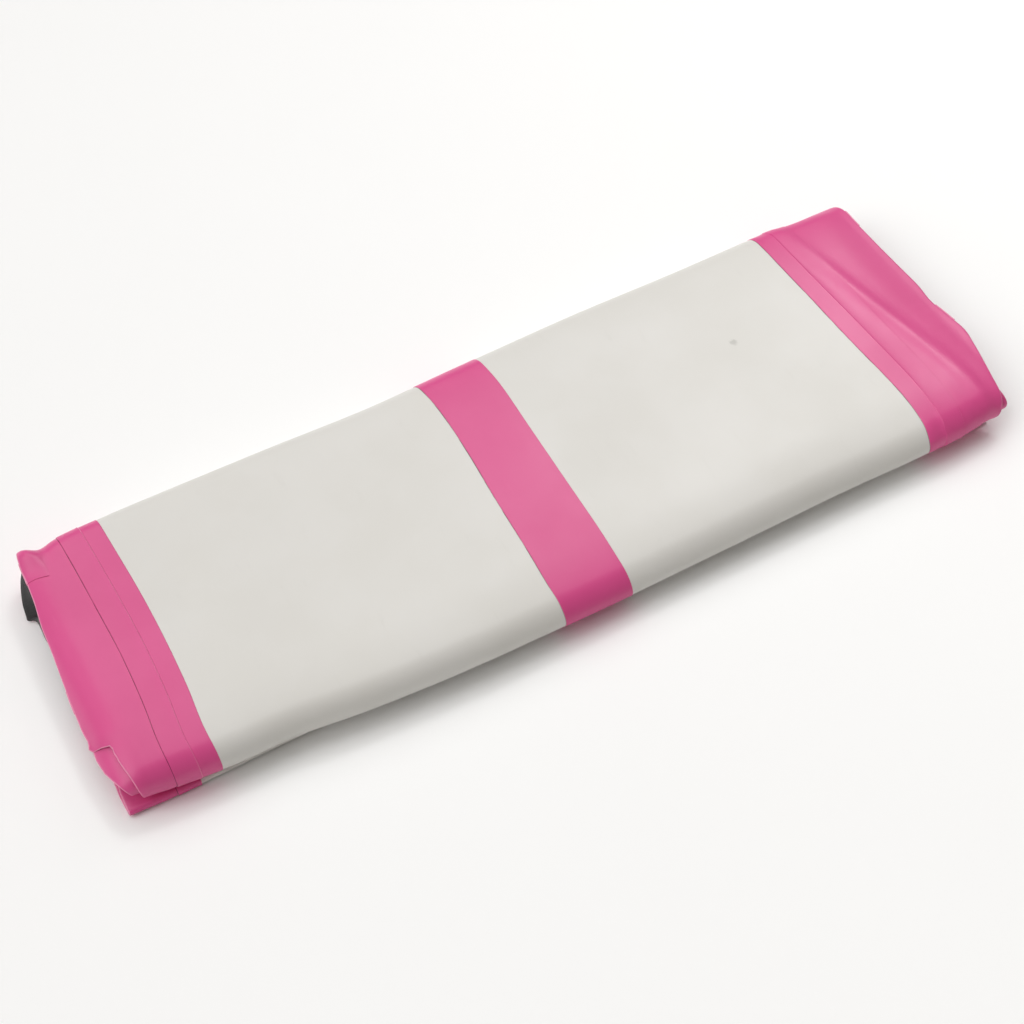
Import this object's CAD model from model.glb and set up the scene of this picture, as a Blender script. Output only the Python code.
"""A deflated air track mat, folded over and over into a pack with pink ends, built on its CAD frame."""
import math

import bmesh
import bpy
import numpy as np
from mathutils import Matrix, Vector


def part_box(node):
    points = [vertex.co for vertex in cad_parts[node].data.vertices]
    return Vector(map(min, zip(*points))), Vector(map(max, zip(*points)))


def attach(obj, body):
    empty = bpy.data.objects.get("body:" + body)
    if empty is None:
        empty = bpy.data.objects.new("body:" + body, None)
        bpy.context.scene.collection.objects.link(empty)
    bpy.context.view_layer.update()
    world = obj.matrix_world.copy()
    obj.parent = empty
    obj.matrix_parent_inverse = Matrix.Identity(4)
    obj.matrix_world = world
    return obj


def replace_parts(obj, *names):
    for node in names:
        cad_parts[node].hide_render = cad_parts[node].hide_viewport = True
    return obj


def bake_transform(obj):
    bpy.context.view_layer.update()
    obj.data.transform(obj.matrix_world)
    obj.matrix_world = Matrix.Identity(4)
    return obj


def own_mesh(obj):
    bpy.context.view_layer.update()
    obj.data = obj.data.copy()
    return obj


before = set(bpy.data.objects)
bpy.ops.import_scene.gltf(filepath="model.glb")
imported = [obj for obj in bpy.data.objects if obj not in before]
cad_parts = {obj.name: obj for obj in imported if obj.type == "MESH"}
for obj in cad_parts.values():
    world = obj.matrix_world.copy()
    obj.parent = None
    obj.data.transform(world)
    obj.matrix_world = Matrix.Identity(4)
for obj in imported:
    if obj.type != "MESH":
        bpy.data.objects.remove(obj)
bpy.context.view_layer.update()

# ---------------------------------------------------------------- sizes, in metres
PITCH = 0.0068                      # from one layer of the pack to the next
CORE = 0.0012                       # half thickness of the collapsed yarns
SKIN = 0.0022                       # from a layer's middle to its skin's face
TAPE = 0.0028                       # and to the face of a thin tape
LAP = 0.0033                        # and to the face of two tapes lapped over each other
SUNK = 0.0003                       # how deep a stripe or tape is let into the skin under it
WALL_T = 0.0009                     # thickness of a side wall's or end wall's fabric
CREASE_T = 0.0012                   # and of its crease

PACK_HEIGHT = 0.060
HALF_DEPTH = 0.183
TUCK_BACK = 0.015                   # how far the tail's tuck stands back from the pack's front
TAIL_Z = TAPE
BASE_Z = TAIL_Z + PITCH
TOP_Z = BASE_Z + 7 * PITCH
BACK_R, FRONT_R, TUCK_R = 3.5 * PITCH, 3 * PITCH, PITCH / 2
BACK = (HALF_DEPTH - BACK_R - TAPE, BASE_Z + BACK_R)
FRONT = (-HALF_DEPTH + FRONT_R + TAPE, TOP_Z - FRONT_R)
TUCK = (-HALF_DEPTH + TUCK_BACK + TUCK_R + TAPE, TAIL_Z + TUCK_R)
TAIL_END_Y, ROLL_END_Y = 0.080, -0.100
END_WALL = 0.050                    # an end wall's width, folded in two
END_WALL_X = (-0.515, 0.520)        # and where it ends at either side

HALF_SKIN = 0.498
STRIPE_X = 0.040
BORDER_X = 0.440                    # where the white ends on the mat's outer face
LAP_X = 0.463                       # where it ends on the other face, and where the tapes lap
SEAM_X = 0.490                      # the tapes' outer edge
WELD_X = SEAM_X - 0.003             # where the side walls come out from under the tapes
TIP_X = 0.5605                      # where a flattened side wall starts to turn round its crease
CREASE_X = 0.563                    # its crease

# where each of the pack's fabric folds turns: from body to body, and from point to point
LOWER_FOLD = ("base", "spine", (0, 0.175, 0.0130), (0, 0.175, 0.0300))
UPPER_FOLD = ("spine", "roll", (0, 0.160, 0.0330), (0, 0.153, 0.0470))


def smooth(t):
    """0 up to 0, 1 from 1 on, and a smooth step between."""
    t = np.clip(t, 0.0, 1.0)
    return t * t * (3 - 2 * t)


def through(x, knots):
    """A smooth curve through (place, value) knots."""
    places, values = (np.array(v, float) for v in zip(*knots))
    slopes = np.gradient(values, places)
    x = np.clip(x, places[0], places[-1])
    i = np.clip(np.searchsorted(places, x) - 1, 0, len(places) - 2)
    h = places[i + 1] - places[i]
    t = (x - places[i]) / h
    return ((2 * t ** 3 - 3 * t ** 2 + 1) * values[i] + (t ** 3 - 2 * t ** 2 + t) * h * slopes[i]
            + (3 * t ** 2 - 2 * t ** 3) * values[i + 1] + (t ** 3 - t ** 2) * h * slopes[i + 1])


def hump(away, width):
    """1 in the middle, falling smoothly to nothing about two widths away."""
    return np.exp(-(away / width) ** 2)


# ---------------------------------------------------------------- how the pack has settled
# the front and back edges of the settled pack, as (x, y)
FRONT_EDGE = [
    (-0.565, -0.170), (-0.50, -0.175), (-0.42, -0.181), (-0.36, -0.181), (-0.28, -0.189), (-0.18, -0.1945),
    (0.0, -0.1945), (0.17, -0.1915), (0.34, -0.188), (0.44, -0.188), (0.50, -0.1855), (0.53, -0.183),
    (0.565, -0.186)]
BACK_EDGE = [
    (-0.565, 0.178), (-0.53, 0.1715), (-0.513, 0.166), (-0.49, 0.171), (-0.44, 0.174), (-0.30, 0.1765),
    (-0.12, 0.1800), (0.0, 0.1855), (0.12, 0.1915), (0.25, 0.196), (0.38, 0.1985), (0.46, 0.2000),
    (0.52, 0.198), (0.565, 0.202)]
LOW_LAYERS_Z = 0.0135               # the top of the two bottom layers, which lie straight
PINCH = 0.004                       # how far their fold is pinched out at its left end
DROOP_START = 0.515                 # from here out the ends droop
LEFT_DROOP, RIGHT_DROOP = 0.026, 0.004
DROOP_PULL = 0.46                   # how far a drooping end is drawn in, as a share of its droop

# how far the mat's lines wander sideways in the pack, in millimetres: along y, at several places across it
BOW_Y = (-0.190, -0.150, -0.090, -0.020, 0.050, 0.120, 0.180)
BOW = [
    (-0.565, (0, 0, 0, 0, 0, 0, 0)),
    (-0.490, (-1, -2, 2.5, 5.5, 5, 4, 2)),
    (-0.440, (-2, -4, 0.5, 3.5, 4, 2, 0)),
    (-0.040, (-7.5, -9.5, -7, -3.5, 1.5, 3.2, 0)),
    (0.040, (-3.5, -4.5, -3, -1.2, 1, 3.5, 1.5)),
    (0.440, (-1, 3, 3, 0.5, -0.5, -2, -0.3)),
    (0.463, (0, 3.5, 4.5, 3, 0.7, -1.5, -0.3)),
    (0.565, (0, 0, 0, 0, 0, 0, 0))]
MILLIMETRE = 0.001


def bow(x, y):
    """How far the mat's lines have shifted sideways."""
    columns = [through(y, list(zip(BOW_Y, values))) for _, values in BOW]
    shift = 0 * x
    for (x0, _), (x1, _), c0, c1 in zip(BOW, BOW[1:], columns, columns[1:]):
        t = (x - x0) / (x1 - x0)
        inside = (t >= 0) * (t < 1)
        shift = shift + inside * (c0 * (1 - t) + c1 * t)
    return MILLIMETRE * shift


def slump(x, y):
    """The share of its height that the pack loses towards its front and, on the right, towards its back."""
    front = (0.20 + 0.04 * smooth(x / 0.2 + 0.5)) * np.clip((-y - 0.10) / 0.083, 0, 1.05) ** 2.2
    back = (0.02 + 0.14 * smooth((x + 0.35) / 0.3)) * np.clip((y - 0.09) / 0.093, 0, 1) ** 2.8
    return front + back


def swell(x, y):
    """The slight waves of limp layers that lie on each other."""
    return (0.0010 * np.sin(8.3 * x + 1.1) * np.sin(11 * y + 0.6) + 0.0007 * np.sin(17 * x - 14 * y + 2.0)
            + 0.0004 * np.sin(31 * x + 9 * y))


def right_end(x, y):
    """A fold of fabric stands up slantwise along the right end, with a hollow beside it."""
    ridge_x = 0.474 + 0.165 * (0.16 - y)
    rise = 0.0019 + 0.0007 * smooth((0.10 - y) / 0.15)
    hollow = 0.0007 * hump(x - 0.546, 0.016) * hump(y - 0.02, 0.11)
    return rise * hump(x - ridge_x, 0.0105) - hollow


def left_end(x, y):
    """The far left corner stands up beside a dip, and a shallow valley runs beside the left border."""
    corner = (0.0072 * hump(x + 0.529, 0.012) - 0.0012 * hump(x + 0.509, 0.007)) * hump(y - 0.166, 0.022)
    valley = 0.0028 * hump(x + 0.402 - 0.12 * y, 0.022) * hump(y - 0.03, 0.095)
    return corner - valley


def settle(x, y, z):
    """Where a point of the neatly folded pack lies once the limp fabric has slumped."""
    height = z / PACK_HEIGHT
    low = smooth((LOW_LAYERS_Z - z) / 0.001)
    # only the layers above the two bottom ones follow the uneven front edge
    front = through(x, FRONT_EDGE) * (1 - low) - HALF_DEPTH * low
    share = (y + HALF_DEPTH) / (2 * HALF_DEPTH)
    y1 = front + share * (through(x, BACK_EDGE) - front)
    y1 = y1 - PINCH * low * smooth((-y - 0.13) / 0.03) * smooth((-x - 0.25) / 0.25)
    # slopes, waves and folds are greatest on top, and die out towards the floor
    z1 = z * (1 - slump(x, y)) + (swell(x, y) + right_end(x, y) + left_end(x, y)) * smooth(height)
    # the ends droop, the left one over the edges of the layers below it
    fall = np.clip((np.abs(x) - DROOP_START) / (CREASE_X - DROOP_START), 0, 1)
    droop = np.where(x < 0, LEFT_DROOP, RIGHT_DROOP)
    z1 = z1 - droop * fall ** 2 * np.maximum(height, 0) ** 1.15
    x1 = x + bow(x, y) - np.sign(x) * droop * DROOP_PULL * fall ** 2 * height
    # the lapped tapes underneath stand out furthest, so all is raised until they rest on the floor
    lift = TAPE - SKIN
    return x1, y1, lift + z1 * (1 - lift / PACK_HEIGHT)


# ---------------------------------------------------------------- the mat's path through the pack
class Path:
    """Rows across the mat, one after another along it: place and outward normal in the YZ plane."""

    def __init__(self, y, z):
        self.rows = [(y, z, 0.0, 1.0)]
        self.marks = {"start": 0}

    def line(self, y1, mark, step=0.02):
        y0, z = self.rows[-1][:2]
        n = max(1, math.ceil(abs(y1 - y0) / step))
        facing = 1.0 if y1 < y0 else -1.0
        self.rows += [(y0 + (y1 - y0) * i / n, z, 0.0, facing) for i in range(1, n + 1)]
        return self.mark(mark)

    def arc(self, centre, r, a0, a1, mark, outward=1.0, step=9.0):
        n = max(2, math.ceil(abs(a1 - a0) / step))
        for i in range(1, n + 1):
            a = math.radians(a0 + (a1 - a0) * i / n)
            c, s = math.cos(a), math.sin(a)
            self.rows.append((centre[0] + r * c, centre[1] + r * s, outward * c, outward * s))
        return self.mark(mark)

    def mark(self, name):
        self.marks[name] = len(self.rows) - 1
        return self

    def arrays(self):
        y, z, ny, nz = np.array(self.rows).T
        return y, z, ny, nz, np.concatenate([[0], np.cumsum(np.hypot(np.diff(y), np.diff(z)))])

    def at(self, mark, y=None):
        """The distance along the mat to a mark, or to the place y beyond it."""
        i = self.marks[mark]
        return self.arrays()[4][i] + (0 if y is None else abs(y - self.rows[i][0]))

    def stretch(self, first, last):
        return tuple(v[self.marks[first]:self.marks[last] + 1] for v in self.arrays())


CUT_DEG = 0.8                       # rows this close to the panels' cut, in the back bend, keep it crisp
FINE_STEP, FINE_DEG = 0.0055, 7.5   # the rows' steps where the mat is in view, on the flat and in the bend


def mat_path():
    """The mat from its tail, under the pack, to its other end, inside the roll."""
    p = Path(TAIL_END_Y, TAIL_Z)
    p.line(TUCK[0], "tail_front").arc(TUCK, TUCK_R, 270, 90, "base_front", outward=-1.0, step=18)
    p.line(BACK[0], "base_back").arc(BACK, BACK_R, -90, -CUT_DEG, "").arc(BACK, BACK_R, -CUT_DEG, 0, "back")
    p.arc(BACK, BACK_R, 0, CUT_DEG, "").arc(BACK, BACK_R, CUT_DEG, 90, "top_back")
    p.line(FRONT[0], "top_front", FINE_STEP).arc(FRONT, FRONT_R, 90, 180, "front", step=FINE_DEG)
    p.arc(FRONT, FRONT_R, 180, 270, "second_front", step=FINE_DEG).line(0.0, "second_mid")
    p.line(BACK[0], "second_back", 0.03)
    turns = [("third_back", "third_front", "fourth_front", "fourth_back"),
             ("fifth_back", "fifth_front", "sixth_front", "sixth_back")]
    for k, (back, front, front_under, back_under) in enumerate(turns, 1):
        p.arc(BACK, BACK_R - k * PITCH, -90, 90, back, step=15).line(FRONT[0], front)
        p.arc(FRONT, FRONT_R - k * PITCH, 90, 270, front_under, step=12).line(BACK[0], back_under)
    return p.arc(BACK, TUCK_R, -90, 90, "last_back", step=20).line(ROLL_END_Y, "end")


MAT = mat_path()
STRETCHES = {
    "base_wrap": (MAT.stretch("start", "back"), LOWER_FOLD, ("tail", "base")),
    "outer_wrap": (MAT.stretch("back", "second_mid"), UPPER_FOLD, ("spine", "roll")),
    "inner_turns": (MAT.stretch("second_mid", "end"), None, ("roll",)),
}


def along_mat(knots):
    """Knots of (distance along the mat, value), from knots of (mark, y beyond it or None, value)."""
    return [(MAT.at(mark, y), value) for mark, y, value in knots]


# how far the side walls' creases stand back from their full reach, along the mat
LEFT_CREASE = along_mat([
    ("start", None, 0.034), ("start", -0.066, 0.034), ("start", -0.10, 0.026), ("start", -0.132, 0.0195),
    ("tail_front", None, 0.0175),
    ("base_front", None, 0.0175), ("base_front", -0.132, 0.0195), ("base_front", -0.10, 0.026),
    ("base_front", -0.066, 0.034), ("base_back", None, 0.034), ("back", None, 0.031),
    ("top_back", None, 0.023), ("top_back", 0.128, 0.021), ("top_back", 0.097, 0.018),
    ("top_back", 0.062, 0.0122), ("top_back", 0.033, 0.0100), ("top_back", -0.015, 0.0046),
    ("top_back", -0.055, 0.0005), ("top_back", -0.095, -0.0002), ("top_back", -0.112, 0.0022),
    ("top_back", -0.120, 0.022), ("top_back", -0.133, 0.026), ("top_back", -0.147, 0.0275),
    ("top_front", None, 0.030), ("front", None, 0.036),
    ("second_front", None, 0.042), ("second_front", -0.08, 0.034), ("second_mid", None, 0.026),
    ("second_back", None, 0.034),
    ("third_back", None, 0.034), ("third_back", 0.05, 0.026), ("third_back", -0.06, 0.019),
    ("third_back", -0.100, 0.005), ("third_back", -0.122, 0.0020), ("third_back", -0.145, 0.006),
    ("third_front", None, 0.013),
    ("fourth_front", None, 0.031), ("fourth_front", -0.11, 0.030), ("fourth_back", None, 0.034),
    ("fifth_back", None, 0.034), ("fifth_front", None, 0.026),
    ("sixth_front", None, 0.026), ("sixth_back", None, 0.034),
    ("last_back", None, 0.034), ("end", None, 0.026)])
RIGHT_CREASE = along_mat([
    ("start", None, 0.026), ("tail_front", None, 0.016),
    ("base_front", None, 0.016), ("base_back", None, 0.018), ("back", None, -0.004),
    ("top_back", None, -0.0100), ("top_back", 0.133, -0.0085), ("top_back", 0.092, -0.0082),
    ("top_back", 0.045, -0.0092), ("top_back", 0.007, -0.0095), ("top_back", -0.016, -0.0071),
    ("top_back", -0.045, -0.0105), ("top_back", -0.075, -0.0130), ("top_back", -0.0975, -0.0078),
    ("top_back", -0.1258, -0.0004), ("top_back", -0.1485, 0.0055),
    ("top_front", None, 0.0075), ("front", None, 0.018),
    ("second_front", None, 0.032), ("second_front", -0.08, 0.026), ("second_mid", None, 0.018),
    ("second_back", None, 0.018),
    ("third_back", None, 0.018), ("third_back", -0.08, 0.016), ("third_front", None, 0.004),
    ("third_front", -0.181, 0.0015), ("third_front", -0.190, 0.008),
    ("fourth_front", None, 0.022), ("fourth_front", -0.08, 0.018), ("fourth_back", None, 0.018),
    ("fifth_back", None, 0.018), ("fifth_front", None, 0.016),
    ("sixth_front", None, 0.016),
    ("last_back", None, 0.018), ("end", None, 0.018)])
PULL_START, PULL_RUN = 0.494, 0.062     # a pulled-in side wall gathers from here out, over this run

# the hidden layers make room for the valve
BAY_Y = (-0.145, -0.045)
BAY_DEPTH = 0.041
BAY_MARGIN, BAY_SLOPE = 0.004, 0.010


def crease_back(x, y, z, along):
    """How far a point's side wall is pulled in, for places across and along the mat."""
    # the hidden creases wander a little; the top layer's keep to their knots
    wander = 0.0012 * np.sin(47 * along + 1.7) + 0.0008 * np.sin(113 * along)
    wander = wander * smooth((np.abs(along - MAT.at("top_back", 0)) - 0.22) / 0.05)
    bay = smooth((y - BAY_Y[0] + BAY_MARGIN) / BAY_SLOPE) * smooth((BAY_Y[1] + BAY_MARGIN - y) / BAY_SLOPE)
    bay = bay * (z > BASE_Z + SKIN) * (z < TOP_Z - SKIN)
    right = through(along, RIGHT_CREASE)
    right = right + bay * np.maximum(BAY_DEPTH - right, 0)
    return np.where(x < 0, through(along, LEFT_CREASE), right) + wander


# ---------------------------------------------------------------- meshes
def face_outwards(mesh):
    """Turns every closed part of a mesh the right way out."""
    shell = bmesh.new()
    shell.from_mesh(mesh)
    bmesh.ops.recalc_face_normals(shell, faces=shell.faces)
    shell.to_mesh(mesh)
    shell.free()


def new_object(name, verts, faces, uvs=None, sharp=40):
    """A smooth-shaded object. uvs has one pair for each vertex, and edges above sharp degrees stay sharp."""
    mesh = bpy.data.meshes.new(name)
    mesh.from_pydata([tuple(v) for v in verts], [], faces)
    face_outwards(mesh)
    if uvs is not None:
        layer = mesh.uv_layers.new(name="UVMap")
        index = np.zeros(len(mesh.loops), int)
        mesh.loops.foreach_get("vertex_index", index)
        layer.data.foreach_set("uv", np.asarray(uvs, np.float32)[index].ravel())
    mesh.shade_smooth()
    mesh.set_sharp_from_angle(angle=math.radians(sharp))
    obj = bpy.data.objects.new(name, mesh)
    bpy.context.scene.collection.objects.link(obj)
    return obj


class Build:
    """Collects the closed strips that make one piece."""

    def __init__(self):
        self.verts, self.faces, self.uvs = [], [], []

    def strip(self, rows, top, bottom):
        """A strip along rows of the mat, between two equally long lines of (x, distance from the middle)."""
        y, z, ny, nz, along = (v[:, None] for v in rows)
        lx, ln = np.array(list(top) + list(reversed(bottom))).T
        x = lx + 0 * y
        uvs = np.stack([x, along + 0 * x], -1)
        reach = smooth((np.abs(x) - PULL_START) / PULL_RUN)
        x = x - np.sign(x) * reach * crease_back(x, y, z, along)
        self.tube(np.stack(settle(x, y + ln * ny, z + ln * nz), -1), len(top), uvs)

    def across(self, y_line, z, xs):
        """A strip across the mat at height z, between y_line's two lines of (y, distance from z)."""
        top, bottom = y_line
        ly, ln = np.array(list(top) + list(reversed(bottom))).T
        x = np.array(xs)[:, None] + 0 * ly
        y = ly + 0 * x
        self.tube(np.stack(settle(x, y, z + ln + 0 * x), -1), len(top), np.stack([x, y], -1))

    def tube(self, grid, half, uvs):
        """Rows of loops, joined. Each loop is two lines of half points, so that its ends close with quads."""
        rows, width = grid.shape[:2]
        start = len(self.verts)
        self.verts.extend(grid.reshape(-1, 3).tolist())
        self.uvs.extend(uvs.reshape(-1, 2).tolist())
        for r in range(rows - 1):
            a, b = start + r * width, start + (r + 1) * width
            for k in range(width):
                m = (k + 1) % width
                self.faces.append((a + k, b + k, b + m, a + m))
        for r, flip in ((0, False), (rows - 1, True)):
            a = start + r * width
            for k in range(half - 1):
                quad = (a + k, a + k + 1, a + width - 2 - k, a + width - 1 - k)
                self.faces.append(quad[::-1] if flip else quad)

    def rings(self, rings):
        """Rings of points, each joined to the next and the last to the first: a shell with a hole in it."""
        start, width = len(self.verts), len(rings[0])
        self.verts.extend(p for ring in rings for p in ring)
        self.uvs.extend((p[1], p[2]) for ring in rings for p in ring)
        for r in range(len(rings)):
            a, b = start + r * width, start + (r + 1) % len(rings) * width
            for k in range(width):
                m = (k + 1) % width
                self.faces.append((a + k, a + m, b + m, b + k))

    def finish(self, name, material, sharp=40):
        obj = new_object(name, self.verts, self.faces, self.uvs, sharp)
        obj.data.materials.append(material)
        return obj


END_STEPS = 0.4                     # a slab's steps near its ends, as a share of its other steps
END_THINNING = 0.0006


def slab(half, low, high, step=0.011):
    """A flat section from -half to half, with finer steps and a thinned outer face towards its ends."""
    middle = np.linspace(-LAP_X, LAP_X, round(2 * LAP_X / step))
    end = np.linspace(LAP_X, half, round((half - LAP_X) / (END_STEPS * step)))[1:]
    xs = np.concatenate([-end[::-1], middle, end])
    thin = END_THINNING * (np.abs(xs) > WELD_X)
    high = high - thin * (high > CORE)
    low = low + thin * (low < -CORE)
    return list(zip(xs, high)), list(zip(xs, low))


def band(line, side, face):
    """The section of a stripe or tape on one face of the mat, from its outside as a line of (x, height)."""
    top = [(side * x, face * n) for x, n in line]
    bottom = [(side * x, face * (SKIN - SUNK)) for x, _ in line]
    return (top, bottom) if side * face > 0 else (bottom, top)


def stripe_section(face):
    """The centre stripe, from one edge to the other."""
    lip = 0.0005
    flat = [-STRIPE_X + lip, -0.030, -0.020, -0.010, 0, 0.010, 0.020, 0.030, STRIPE_X - lip]
    return band([(-STRIPE_X, SKIN)] + [(x, TAPE) for x in flat] + [(STRIPE_X, SKIN)], 1, face)


def tape_section(side, face):
    """A seam tape: thin from its inner edge to LAP_X on the outer face, and lapped double from there out."""
    lip, slack = 0.0006, 0.0001
    line = []
    if face > 0:
        line += [(BORDER_X, SKIN), (BORDER_X + lip, TAPE), (BORDER_X + 0.008, TAPE), (LAP_X - 0.007, TAPE)]
    line += [(LAP_X - lip, TAPE if face > 0 else SKIN), (LAP_X + 0.0002, LAP + 0.0003), (LAP_X + 0.003, LAP)]
    line += [(LAP_X + 0.010, LAP - slack), (SEAM_X - 0.010, LAP - slack), (WELD_X, LAP)]
    line += [(SEAM_X - lip, LAP + slack), (SEAM_X, SKIN + slack)]
    return band(line, side, face)


# a flattened side wall's face, from under the tapes out to its crease: (x, distance from the middle)
WALL_FACE = [
    (0.474, 0.0018), (WELD_X, 0.0019), (SEAM_X - 0.001, 0.0024), (0.493, 0.0025), (0.4965, 0.0025),
    (0.500, 0.0025), (0.504, 0.0024), (0.5075, 0.0024), (0.511, 0.0023), (0.518, 0.0022), (0.525, 0.0021),
    (0.532, 0.0020), (0.539, 0.0018), (0.545, 0.0017), (0.551, 0.0016), (0.556, 0.0015), (TIP_X, 0.0014)]
CREASE_R = 0.0013


def wall_line():
    """The outside of a flattened side wall, out over its crease and back."""
    centre = CREASE_X - CREASE_R
    turn = [(centre + CREASE_R * math.cos(a), CREASE_R * math.sin(a)) for a in np.radians([65, 35, 0])]
    line = WALL_FACE + turn
    return line + [(x, -n) for x, n in reversed(line[:-1])]


def inside(n):
    """The height of a wall's inside, where its outside is at n, above or below the middle."""
    return math.copysign(max(abs(n) - WALL_T, 0.0001), n) if n else 0


def sided(side, outer, inner):
    """A section's two lines, turned to the left or right end of the pack."""
    top, bottom = ([(side * x, n) for x, n in line] for line in (outer, inner))
    return (top, bottom) if side > 0 else (bottom, top)


def wall_section(side):
    """A flattened side wall: two leaves and the crease between them."""
    outer = wall_line()
    return sided(side, outer, [(min(x, CREASE_X - CREASE_T), inside(n)) for x, n in outer])


# ---------------------------------------------------------------- materials
class Shader:
    """A principled material and short ways to add nodes to it."""

    def __init__(self, name, **sockets):
        self.material = bpy.data.materials.new(name)
        self.material.use_nodes = True
        self.tree = self.material.node_tree
        self.bsdf = next(n for n in self.tree.nodes if n.type == "BSDF_PRINCIPLED")
        for socket, value in sockets.items():
            self.bsdf.inputs[socket.replace("_", " ")].default_value = value
        self.normal = None

    def node(self, kind, inputs=(), **settings):
        node = self.tree.nodes.new(kind)
        for key, value in settings.items():
            setattr(node, key, value)
        for socket, value in dict(inputs).items():
            if isinstance(value, bpy.types.NodeSocket):
                self.tree.links.new(value, node.inputs[socket])
            else:
                node.inputs[socket].default_value = value
        return node

    def coordinates(self, which="UV"):
        return self.node("ShaderNodeTexCoord").outputs[which]

    def math(self, operation, a, b=0.0, c=0.0):
        return self.node("ShaderNodeMath", {0: a, 1: b, 2: c}, operation=operation).outputs[0]

    def parts(self, vector):
        return self.node("ShaderNodeSeparateXYZ", {0: vector}).outputs

    def stretched(self, vector, scale):
        return self.node("ShaderNodeVectorMath", {0: vector, 1: scale}, operation="MULTIPLY").outputs[0]

    def noise(self, vector, scale, detail=2.0, roughness=0.5):
        inputs = {"Vector": vector, "Scale": scale, "Detail": detail, "Roughness": roughness}
        return self.node("ShaderNodeTexNoise", inputs).outputs["Fac"]

    def ramp(self, value, low, high, out_low=0.0, out_high=1.0):
        inputs = {"Value": value, "From Min": low, "From Max": high, "To Min": out_low, "To Max": out_high}
        return self.node("ShaderNodeMapRange", inputs, interpolation_type="SMOOTHSTEP").outputs[0]

    def mix(self, factor, a, b):
        node = self.node("ShaderNodeMix", data_type="RGBA")
        for socket, value in ((0, factor), (6, a), (7, b)):
            if isinstance(value, bpy.types.NodeSocket):
                self.tree.links.new(value, node.inputs[socket])
            else:
                node.inputs[socket].default_value = value if socket == 0 else (*value, 1)
        return node.outputs[2]

    def colour(self, socket):
        self.tree.links.new(socket, self.bsdf.inputs["Base Color"])

    def roughness(self, socket):
        self.tree.links.new(socket, self.bsdf.inputs["Roughness"])

    def bump(self, height, distance, strength=1.0):
        inputs = {"Height": height, "Distance": distance, "Strength": strength}
        if self.normal is not None:
            inputs["Normal"] = self.normal
        self.normal = self.node("ShaderNodeBump", inputs).outputs[0]
        self.tree.links.new(self.normal, self.bsdf.inputs["Normal"])

    def weave(self, vector, pitch):
        """The base cloth's plain weave as it shows through a PVC coat, from 0 to 1."""
        u, v = self.parts(vector)[:2]
        turn = 2 * math.pi / pitch
        over = self.math("SINE", self.math("MULTIPLY", u, turn))
        under = self.math("SINE", self.math("MULTIPLY", v, turn))
        return self.math("MULTIPLY_ADD", self.math("MULTIPLY", over, under), 0.5, 0.5)


# base colour, the clouds in it, and rubbed patches
WHITE_TONES = [(0.705, 0.689, 0.658), (0.690, 0.673, 0.637), (0.64, 0.624, 0.59)]
PINK_TONES = [(0.700, 0.080, 0.268), (0.675, 0.071, 0.252), (0.72, 0.117, 0.307)]
SCUFF_GREY, DIRT = (0.42, 0.41, 0.38), (0.13, 0.12, 0.11)
WORN_PINK, DIRTY_PINK, RUBBED_PINK = (0.86, 0.42, 0.56), (0.26, 0.02, 0.09), (0.80, 0.20, 0.39)
SCUFF_X, SCUFF_Y = 0.318, 0.037


def coated_fabric(name, tones, rough, weave_strength):
    """PVC-coated cloth: two tones in soft clouds, rubbed patches, slack puckers, fine grain, faint weave."""
    s = Shader(name, Specular_IOR_Level=0.45, Coat_Weight=0.06, Coat_Roughness=0.30)
    uv = s.coordinates()
    cloud = s.noise(uv, 7.0, 4.0, 0.55)
    rub = s.noise(s.stretched(uv, (1, 0.25, 1)), 60.0, 5.0, 0.65)
    tone = s.mix(s.ramp(cloud, 0.35, 0.65), tones[0], tones[1])
    tone = s.mix(s.ramp(rub, 0.60, 0.78, 0.0, 0.35), tone, tones[2])
    clouded = s.ramp(cloud, 0.3, 0.7, rough - 0.04, rough + 0.04)
    s.roughness(s.math("ADD", clouded, s.ramp(rub, 0.55, 0.8, 0.0, 0.10)))
    s.bump(s.noise(uv, 6.0, 1.0), 0.0022)
    s.bump(s.noise(s.stretched(uv, (1, 0.35, 1)), 22.0, 1.0), 0.0002)
    s.bump(s.noise(uv, 2500.0, 2.0), 0.00003)
    s.bump(s.weave(uv, 0.0011), 0.00006, weave_strength)
    return s, uv, tone


def edge_line(s, uv, x, half):
    """1 along a thin line at x across the mat, broken up a little, and 0 beside it."""
    away = s.math("ABSOLUTE", s.math("SUBTRACT", s.parts(uv)[0], x))
    broken = s.ramp(s.noise(uv, 35.0, 3.0), 0.3, 0.6, 0.4, 0.9)
    return s.math("MULTIPLY", s.ramp(away, half * 0.5, half, 1.0, 0.0), broken)


def white_pvc():
    s, uv, tone = coated_fabric("white_pvc", WHITE_TONES, rough=0.42, weave_strength=0.6)
    # a small grey scuff on the top panel
    scuff_at = (SCUFF_X, MAT.at("top_back", SCUFF_Y), 0.0)
    ragged = s.math("MULTIPLY", s.noise(uv, 260.0, 3.0), 0.007)
    away = s.node("ShaderNodeVectorMath", {0: uv, 1: scuff_at}, operation="DISTANCE").outputs["Value"]
    scuff = s.ramp(s.math("SUBTRACT", away, ragged), -0.002, 0.003, 0.55, 0.0)
    tone = s.mix(scuff, tone, SCUFF_GREY)
    # dirt gathers against the tapes' edges on one side
    for edge in (-STRIPE_X, BORDER_X):
        tone = s.mix(edge_line(s, uv, edge - 0.0004, 0.0006), tone, DIRT)
    s.colour(tone)
    return s.material


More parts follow.
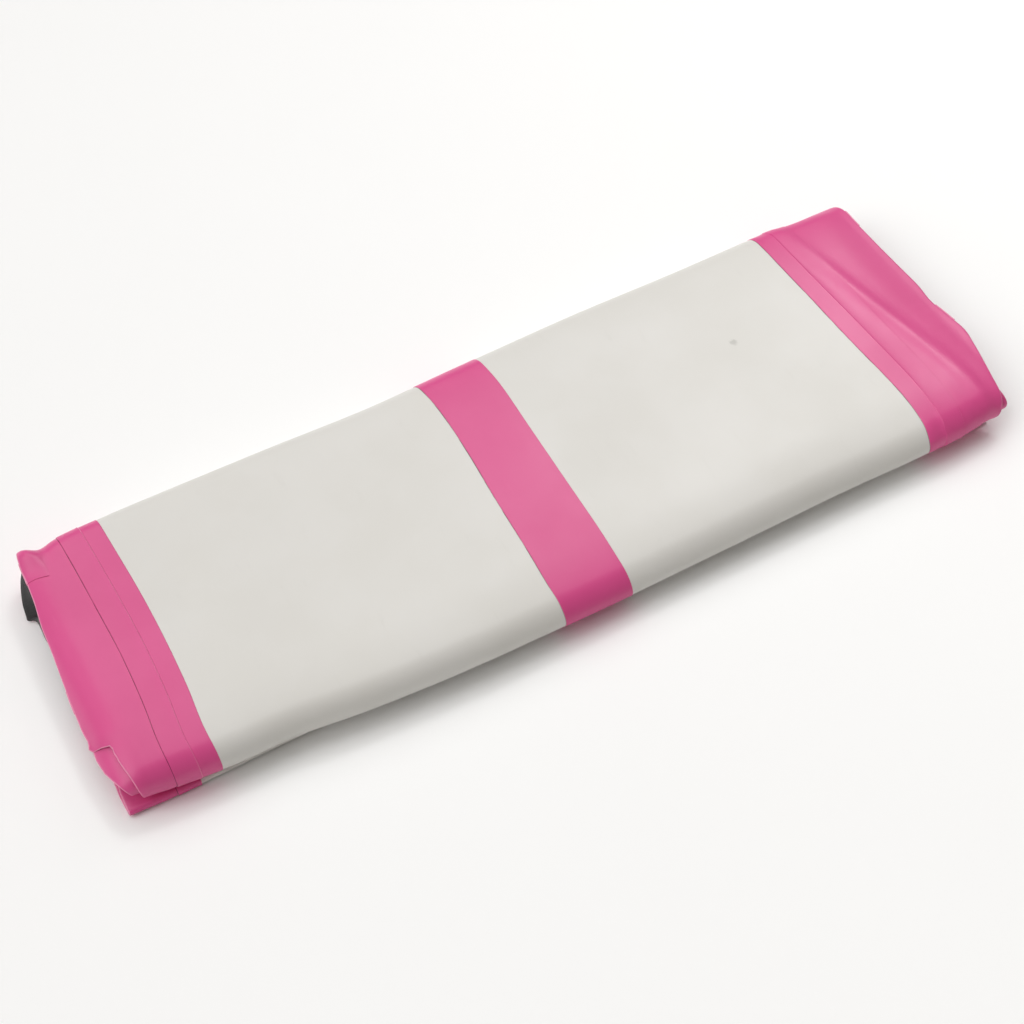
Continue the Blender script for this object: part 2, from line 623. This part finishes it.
def pink_pvc():
    s, uv, tone = coated_fabric("pink_pvc", PINK_TONES, rough=0.36, weave_strength=0.35)
    # the coat is rubbed paler along the crease
    reach = s.math("ABSOLUTE", s.parts(uv)[0])
    worn = s.math("ADD", reach, s.math("MULTIPLY", s.noise(uv, 90.0, 3.0), 0.0016))
    tone = s.mix(s.ramp(worn, CREASE_X - 0.0010, CREASE_X + 0.0006, 0.0, 0.5), tone, WORN_PINK)
    # dirt gathers in the left wall's lap, and the step to the tape beside it is rubbed
    tone = s.mix(edge_line(s, uv, -SEAM_X, 0.0005), tone, DIRTY_PINK)
    tone = s.mix(edge_line(s, uv, -LAP_X, 0.0006), tone, RUBBED_PINK)
    s.colour(tone)
    return s.material


def yarn():
    s = Shader("drop_stitch_yarn", Roughness=0.85, Sheen_Weight=0.3)
    uv = s.coordinates()
    strands = s.noise(s.stretched(uv, (1, 0.08, 1)), 900.0, 3.0)
    s.colour(s.mix(strands, (0.60, 0.57, 0.50), (0.78, 0.76, 0.70)))
    s.bump(strands, 0.0004)
    return s.material


def black_webbing():
    s = Shader("black_webbing", Sheen_Weight=0.25, Sheen_Roughness=0.5)
    uv = s.coordinates()
    u, v = s.parts(uv)[:2]
    rib_pitch, pick_pitch = 0.0022, 0.0018
    rib = s.math("SINE", s.math("MULTIPLY", u, 2 * math.pi / rib_pitch))
    pick = s.math("SINE", s.math("MULTIPLY_ADD", v, 2 * math.pi / pick_pitch, s.math("MULTIPLY", rib, 1.2)))
    woven = s.math("MULTIPLY_ADD", s.math("MULTIPLY", rib, pick), 0.5, 0.5)
    dust = s.noise(uv, 70.0, 4.0)
    tone = s.mix(woven, (0.012, 0.012, 0.013), (0.032, 0.032, 0.033))
    s.colour(s.mix(s.ramp(dust, 0.55, 0.75, 0.0, 0.5), tone, (0.055, 0.053, 0.050)))
    s.roughness(s.ramp(dust, 0.3, 0.7, 0.55, 0.75))
    s.bump(woven, 0.00035)
    return s.material


def moulded(name, colour, rough, grain=0.00004, **sockets):
    """Moulded plastic or rubber: a fine spark-eroded grain, slight tone changes and scuffs."""
    s = Shader(name, **sockets)
    place = s.coordinates("Object")
    cloud = s.noise(place, 60.0, 4.0)
    darker = tuple(0.8 * c for c in colour)
    paler = tuple(min(1.0, 1.25 * c + 0.03) for c in colour)
    scratch = s.noise(s.stretched(place, (1, 1, 0.1)), 700.0, 4.0, 0.7)
    tone = s.mix(s.ramp(cloud, 0.35, 0.65), darker, colour)
    s.colour(s.mix(s.ramp(scratch, 0.62, 0.75, 0.0, 0.4), tone, paler))
    clouded = s.ramp(cloud, 0.3, 0.7, rough - 0.05, rough + 0.05)
    s.roughness(s.math("ADD", clouded, s.ramp(scratch, 0.6, 0.8, 0, 0.12)))
    s.bump(s.noise(place, 3200.0, 2.0), grain)
    return s.material


# ---------------------------------------------------------------- the mat's pieces
def join(obj, fold):
    """Joins a piece to the body or bodies that it moves with."""
    if fold is None:
        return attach(obj, "roll")
    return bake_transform(obj)


def make_stretch(name, paints):
    """Every strip of fabric and yarn over one stretch of the mat."""
    rows, fold, panels = STRETCHES[name]
    gap = 0.0001                    # between the yarns and the skins
    for piece, slot, sections in [
            ("outer_skin", "white_skin", [slab(HALF_SKIN, CORE + gap, SKIN)]),
            ("inner_skin", "white_skin", [slab(HALF_SKIN, -SKIN, -CORE - gap)]),
            ("yarn_core", "yarn", [slab(HALF_SKIN, -CORE, CORE, 0.033)]),
            ("centre_stripe", "pink_pvc", [stripe_section(face) for face in (1, -1)]),
            ("seam_tape", "pink_pvc", [tape_section(side, face) for side in (1, -1) for face in (1, -1)]),
            ("side_wall_left", "pink_pvc", [wall_section(-1)]),
            ("side_wall_right", "pink_pvc", [wall_section(1)])]:
        build = Build()
        for top, bottom in sections:
            build.strip(rows, top, bottom)
        obj = build.finish(f"{piece}.{name}", paints[slot])
        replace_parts(obj, *[f"{piece}_{panel}" for panel in panels])
        join(obj, fold)


# an end wall's face, from the mat's end out to its crease: (distance out, distance from the middle)
END_FACE = [(0.0003, 0.0022), (0.012, 0.0023), (0.025, 0.0021), (0.038, 0.0018),
            (END_WALL - 0.004, 0.0015), (END_WALL - 0.001, 0.0011), (END_WALL, 0.0)]


def make_end_wall(name, body, y, out, z, paint):
    """An end wall flattened into two leaves, like a side wall, from the mat's end at y. out is 1 or -1."""
    outer = END_FACE + [(run, -n) for run, n in reversed(END_FACE[:-1])]
    inner = [(min(run, END_WALL - CREASE_T), inside(n)) for run, n in outer]
    lines = [[(y + out * run, n) for run, n in line] for line in (outer, inner)]
    build = Build()
    build.across(lines if out < 0 else lines[::-1], z, np.linspace(*END_WALL_X, 60))
    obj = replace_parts(build.finish(f"end_wall.{name}", paint), f"end_wall_{name}")
    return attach(obj, body)


# ---------------------------------------------------------------- handles
PATCHES = [(-0.055, -0.025), (0.125, 0.155)]        # from y to y
PATCH_X, PATCH_T = 0.520, 0.0008
PATCH_EDGE, PATCH_LIP = 0.25, 0.0006                # its edges' share of its thickness, and their width
PATCH_TURN_X = 0.560                                # where a patch starts to stand out round the crease
PATCH_INSIDE = 0.96                                 # its inside's height, as a share of the wall's face


def patch_lines(laps_over):
    """A patch's outside and inside. It lies against the wall's underside, or also laps over the crease."""
    wall = [(x, n) for x, n in wall_line() if x > PATCH_X and (laps_over or x > TIP_X or n < 0)]
    tip = max(range(len(wall)), key=lambda i: wall[i][0])
    outer, inner = [], []
    for i, (x, n) in enumerate(wall):
        grow = PATCH_T * (PATCH_EDGE if i in (0, len(wall) - 1) else 1.0)
        facing = 1 if i < tip else -1 if i > tip else 0
        turned = max(0.0, (x - PATCH_TURN_X) / 0.003)
        outer.append((x + PATCH_T * turned, n + grow * facing))
        inner.append((x - 0.0002 * (i == tip), n * PATCH_INSIDE))
    return outer, inner


def make_patches(side, side_name, paint):
    """The patches at the top layer's crease that hold a handle. The far left one laps over the crease."""
    build = Build()
    for y0, y1 in PATCHES:
        ys = np.array([y1, y1 - PATCH_LIP, *np.linspace(y1 - 0.005, y0 + 0.005, 5), y0 + PATCH_LIP, y0])
        rows = (ys, TOP_Z + 0 * ys, 0 * ys, 1 + 0 * ys, MAT.at("top_back") + BACK[0] - ys)
        build.strip(rows, *sided(side, *patch_lines(side < 0 and y0 > 0)))
    obj = build.finish(f"handle_patches.{side_name}", paint)
    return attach(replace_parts(obj, f"handle_patches_{side_name}"), "roll")


def curve_through(knots, count):
    """Points evenly spaced in number along a Catmull-Rom curve through the knots."""
    p = np.array(knots, float)
    p = np.vstack([2 * p[0] - p[1], p, 2 * p[-1] - p[-2]])
    out = []
    for s in np.linspace(0, len(knots) - 1, count):
        i = min(int(s), len(knots) - 2)
        t = s - i
        a, b, c, d = p[i:i + 4]
        out.append(0.5 * (2 * b + (c - a) * t + (2 * a - 5 * b + 4 * c - d) * t ** 2
                          + (3 * b - a - 3 * c + d) * t ** 3))
    return np.array(out)


# each half's run as (top edge, bottom edge), and where along y it bends as the handle swings
WEBBING = {
    "left": {
        "far": [((-0.5335, 0.146, 0.0470), (-0.5320, 0.121, 0.0462)),
                ((-0.5410, 0.138, 0.0350), (-0.5325, 0.115, 0.0330)),
                ((-0.5475, 0.125, 0.0180), (-0.5335, 0.109, 0.0170)),
                ((-0.5495, 0.114, 0.0065), (-0.5345, 0.105, 0.0070)),
                ((-0.5495, 0.1105, 0.0025), (-0.5350, 0.103, 0.0100)),
                ((-0.5430, 0.1065, 0.0025), (-0.5352, 0.100, 0.0170)),
                ((-0.5405, 0.098, 0.0025), (-0.5360, 0.093, 0.0250)),
                ((-0.5410, 0.075, 0.0025), (-0.5375, 0.073, 0.0270)),
                ((-0.5375, 0.050, 0.0025), (-0.5360, 0.050, 0.0270))],
        "near": [((-0.5450, -0.034, 0.0360), (-0.5450, -0.052, 0.0380)),
                 ((-0.5420, -0.020, 0.0180), (-0.5440, -0.040, 0.0320)),
                 ((-0.5380, -0.006, 0.0060), (-0.5400, -0.018, 0.0270)),
                 ((-0.5370, 0.018, 0.0025), (-0.5380, 0.015, 0.0265)),
                 ((-0.5375, 0.050, 0.0025), (-0.5360, 0.050, 0.0270))],
    },
    "right": {
        "far": [((0.5505, 0.139, 0.0500), (0.5505, 0.139, 0.0252)),
                ((0.5530, 0.120, 0.0498), (0.5535, 0.120, 0.0248)),
                ((0.5590, 0.085, 0.0490), (0.5600, 0.085, 0.0240)),
                ((0.5610, 0.050, 0.0485), (0.5622, 0.050, 0.0235))],
        "near": [((0.5505, -0.039, 0.0500), (0.5505, -0.039, 0.0252)),
                 ((0.5530, -0.020, 0.0498), (0.5535, -0.020, 0.0248)),
                 ((0.5590, 0.015, 0.0490), (0.5600, 0.015, 0.0240)),
                 ((0.5610, 0.050, 0.0485), (0.5622, 0.050, 0.0235))],
    },
}
WEBBING_W, WEBBING_HALF_T, WEBBING_STEPS = 0.025, 0.0008, 40
ACROSS = np.array([0.0, 0.04, 0.2, 0.4, 0.6, 0.8, 0.96, 1.0])      # places across the webbing
FULLNESS = np.array([0.35, 1, 1, 1, 1, 1, 1, 0.35])                 # and how thick it is there


def make_webbing(side_name, which, knots, paint):
    """Half of a handle's webbing. knots give its top and bottom edges, from its patch to its middle."""
    top, low = (curve_through(edge, WEBBING_STEPS) for edge in zip(*knots))
    run = np.gradient((top + low) / 2, axis=0)
    face = np.cross(run, top - low)
    face /= np.linalg.norm(face, axis=1)[:, None]
    along = np.concatenate([[0], np.cumsum(np.linalg.norm(np.diff((top + low) / 2, axis=0), axis=1))])
    thick = WEBBING_HALF_T * FULLNESS
    middle = top[:, None] + (low - top)[:, None] * ACROSS[:, None]
    front, back = (middle + sign * face[:, None] * thick[:, None] for sign in (1, -1))
    across = np.concatenate([ACROSS, ACROSS[::-1]]) * WEBBING_W
    uvs = np.stack([across + 0 * along[:, None], along[:, None] + 0 * across], -1)
    build = Build()
    build.tube(np.concatenate([front, back[:, ::-1]], axis=1), len(ACROSS), uvs)
    obj = build.finish(f"handle_webbing_{side_name}.{which}", paint)
    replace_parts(obj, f"handle_webbing_{side_name}")
    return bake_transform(obj)


# ---------------------------------------------------------------- valve
# the pouch's rings as (depth behind its face, radius), and then as (depth, share of its size)
POUCH_HOLE = [(0, 0.0152), (0, 0.0190), (0.0002, 0.0238)]
POUCH_RIM = [(0.0006, 0.92), (0.0016, 0.975), (0.0030, 1.0)]
POUCH_SIDES = [(0.0046, 1.0), (0.0100, 0.97), (0.0170, 0.96)]
POUCH_FLOOR_Z = 0.0128              # the underside of its back, above the face's
POUCH_BACK = 0.98

SPRING_TURNS, SPRING_WIRE_R = 3, 0.0004

EDGE_STEPS, EDGE_ANGLE = 2, math.radians(40)
VALVE_PIECES = [                    # node, material and how far its edges are rounded
    ("valve_gasket", "rubber", 0.0), ("valve_body", "valve_plastic", 0.0004),
    ("valve_nut", "valve_plastic", 0.0003), ("valve_stem", "stem_plastic", 0.0003),
    ("valve_seal", "rubber", 0.0), ("cap_tether", "cap_plastic", 0.0002),
    ("valve_cap", "cap_plastic", 0.0004)]


def make_valve_pouch(paint):
    """The side wall that stands up round the valve: a limp, flat pouch with the valve's hole in it."""
    lo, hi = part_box("valve_pocket")
    face, back = hi[0], lo[0]
    axis_y, axis_z = (lo[1] + hi[1]) / 2, (lo[2] + hi[2]) / 2
    directions = [(math.cos(a), math.sin(a)) for a in np.linspace(0, 2 * math.pi, 64, endpoint=False)]

    def circle(x, r):
        return [(x, axis_y + r * c, axis_z + r * s) for c, s in directions]

    def squarish(x, size, bottom, inset):
        half_y = (hi[1] - lo[1]) / 2 * size - inset
        middle, half_z = (bottom + hi[2]) / 2, (hi[2] - bottom) / 2 * size - inset
        points = []
        for c, s in directions:
            r = (abs(c) ** 5 + abs(s) ** 5) ** -0.2
            points.append((x, axis_y + half_y * r * c, middle + half_z * r * s))
        return points

    def shell(inset):
        """The rings of the pouch's outside, or of its inside where inset is its wall."""
        rings = [circle(min(face - depth, face - inset), r) for depth, r in POUCH_HOLE]
        for bottom, rows in ((lo[2], POUCH_RIM), (POUCH_FLOOR_Z, POUCH_SIDES)):
            rings += [squarish(min(face - depth, face - inset), size, bottom, inset) for depth, size in rows]
        return rings + [squarish(back, POUCH_BACK, POUCH_FLOOR_Z, inset)]

    build = Build()
    build.rings(shell(0.0) + shell(WALL_T)[::-1])
    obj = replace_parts(build.finish("valve_pouch", paint, 50), "valve_pocket")
    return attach(obj, "roll")


def make_spring(paint):
    """The stem's return spring, from the valve's hub out to the button. It shortens as the stem goes in."""
    lo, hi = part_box("valve_spring")
    axis_y, axis_z = (lo[1] + hi[1]) / 2, (lo[2] + hi[2]) / 2
    coil_r = (hi[1] - lo[1]) / 2 - SPRING_WIRE_R
    turn = np.linspace(0, 2 * math.pi * SPRING_TURNS, 48 * SPRING_TURNS + 1)[:, None]
    section = np.linspace(0, 2 * math.pi, 12, endpoint=False)
    r = coil_r + SPRING_WIRE_R * np.cos(section)
    first, last = lo[0] + SPRING_WIRE_R, hi[0] - SPRING_WIRE_R
    x = first + (last - first) * turn / turn[-1] + SPRING_WIRE_R * np.sin(section)
    grid = np.stack([x, axis_y + r * np.cos(turn), axis_z + r * np.sin(turn)], -1)
    uvs = np.stack([section + 0 * x, turn + 0 * x], -1)
    build = Build()
    build.tube(grid, len(section) // 2, uvs)
    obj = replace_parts(build.finish("valve_spring_coil", paint), "valve_spring")
    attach(obj, "stem")
    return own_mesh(obj)


def finish_valve(paints):
    """The valve's other pieces keep their CAD shapes, with softened edges and moulded materials."""
    for node, paint, edge in VALVE_PIECES:
        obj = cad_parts[node]
        obj.data.materials.clear()
        obj.data.materials.append(paints[paint])
        if edge:
            bevel = obj.modifiers.new("soft_edges", "BEVEL")
            bevel.width = edge
            bevel.segments = EDGE_STEPS
            bevel.limit_method = "ANGLE"
            bevel.angle_limit = EDGE_ANGLE


# ---------------------------------------------------------------- the studio
FLOOR_REACH, FLOOR_Z = 200.0, -0.0004
PAPER = [(0.965, 0.965, 0.965), (0.98, 0.98, 0.98)]
WORLD_COLOUR, WORLD_STRENGTH = (1.0, 0.95, 0.87, 1), 0.20
CAMERA_TARGET, CAMERA_DISTANCE = Vector((-0.025, -0.033, 0.030)), 2.18
CAMERA_AZIMUTH, CAMERA_ELEVATION = math.radians(-29.1), math.radians(51.5)
SENSOR, FOCAL = 36, 1.8984375       # the sensor's width in mm, and the focal length in sensor widths


def place_light(light, direction, location=(0, 0, 0)):
    """Puts a light in the scene, shining from a direction."""
    obj = bpy.data.objects.new(light.name, light)
    obj.location = location
    obj.rotation_euler = Vector(direction).to_track_quat("Z", "Y").to_euler()
    bpy.context.scene.collection.objects.link(obj)


def softbox(name, direction, spread_deg, strength):
    """A wide, even light, from a direction and as broad as spread_deg, seen from the object."""
    light = bpy.data.lights.new(name, "SUN")
    light.angle = math.radians(spread_deg)
    light.energy = strength
    place_light(light, direction)


def area_light(name, place, target, size, power):
    """A near light at a place, facing a target."""
    light = bpy.data.lights.new(name, "AREA")
    light.shape = "RECTANGLE"
    light.size, light.size_y = size
    light.energy = power
    place_light(light, Vector(place) - Vector(target), place)


def make_floor():
    corners = [(-1, -1), (1, -1), (1, 1), (-1, 1)]
    verts = [(x * FLOOR_REACH, y * FLOOR_REACH, FLOOR_Z) for x, y in corners]
    floor = new_object("floor", verts, [(0, 1, 2, 3)])
    s = Shader("paper_sweep", Roughness=0.9, Specular_IOR_Level=0.1)
    s.colour(s.mix(s.noise(s.coordinates("Object"), 3.0, 2.0), *PAPER))
    floor.data.materials.append(s.material)


def make_studio():
    make_floor()
    softbox("overhead", (0.12, 0.55, 1.0), spread_deg=60, strength=1.25)
    softbox("left", (-0.85, 0.10, 0.80), spread_deg=55, strength=1.40)
    softbox("strip", (0.46, 0.45, 0.76), spread_deg=10, strength=0.33)
    area_light("right", (1.15, 0.55, 1.25), target=(0.3, 0, 0), size=(1.0, 1.0), power=3)
    world = bpy.data.worlds.new("studio")
    world.use_nodes = True
    background = world.node_tree.nodes["Background"]
    background.inputs["Color"].default_value = WORLD_COLOUR
    background.inputs["Strength"].default_value = WORLD_STRENGTH
    bpy.context.scene.world = world
    bpy.context.scene.view_settings.view_transform = "Standard"


def make_camera():
    out, up = math.cos(CAMERA_ELEVATION), math.sin(CAMERA_ELEVATION)
    back = Vector((math.sin(CAMERA_AZIMUTH) * out, -math.cos(CAMERA_AZIMUTH) * out, up))
    data = bpy.data.cameras.new("camera")
    data.sensor_width = SENSOR
    data.lens = SENSOR * FOCAL
    data.clip_end = 500
    camera = bpy.data.objects.new("camera", data)
    camera.location = CAMERA_TARGET + back * CAMERA_DISTANCE
    camera.rotation_euler = back.to_track_quat("Z", "Y").to_euler()
    bpy.context.scene.collection.objects.link(camera)
    bpy.context.scene.camera = camera


# ---------------------------------------------------------------- everything together
make_camera()
paints = {
    "white_skin": white_pvc(),
    "pink_pvc": pink_pvc(),
    "yarn": yarn(),
    "webbing": black_webbing(),
    "valve_plastic": moulded("valve_plastic", (0.34, 0.35, 0.36), 0.42),
    "cap_plastic": moulded("cap_plastic", (0.035, 0.035, 0.037), 0.45),
    "stem_plastic": moulded("stem_plastic", (0.72, 0.71, 0.68), 0.38),
    "rubber": moulded("rubber", (0.022, 0.022, 0.022), 0.7, 0.00008),
    "spring_steel": moulded("spring_steel", (0.55, 0.54, 0.52), 0.28, 0.00001, Metallic=1.0),
}
for stretch in STRETCHES:
    make_stretch(stretch, paints)
make_end_wall("tail", "base", TAIL_END_Y, 1, TAIL_Z, paints["pink_pvc"])
make_end_wall("roll", "roll", ROLL_END_Y, -1, BACK[1] + TUCK_R, paints["pink_pvc"])
make_patches(-1, "left", paints["pink_pvc"])
make_patches(1, "right", paints["pink_pvc"])
for side_name, halves in WEBBING.items():
    for which, knots in halves.items():
        make_webbing(side_name, which, knots, paints["webbing"])
make_valve_pouch(paints["pink_pvc"])
make_spring(paints["spring_steel"])
finish_valve(paints)
make_studio()
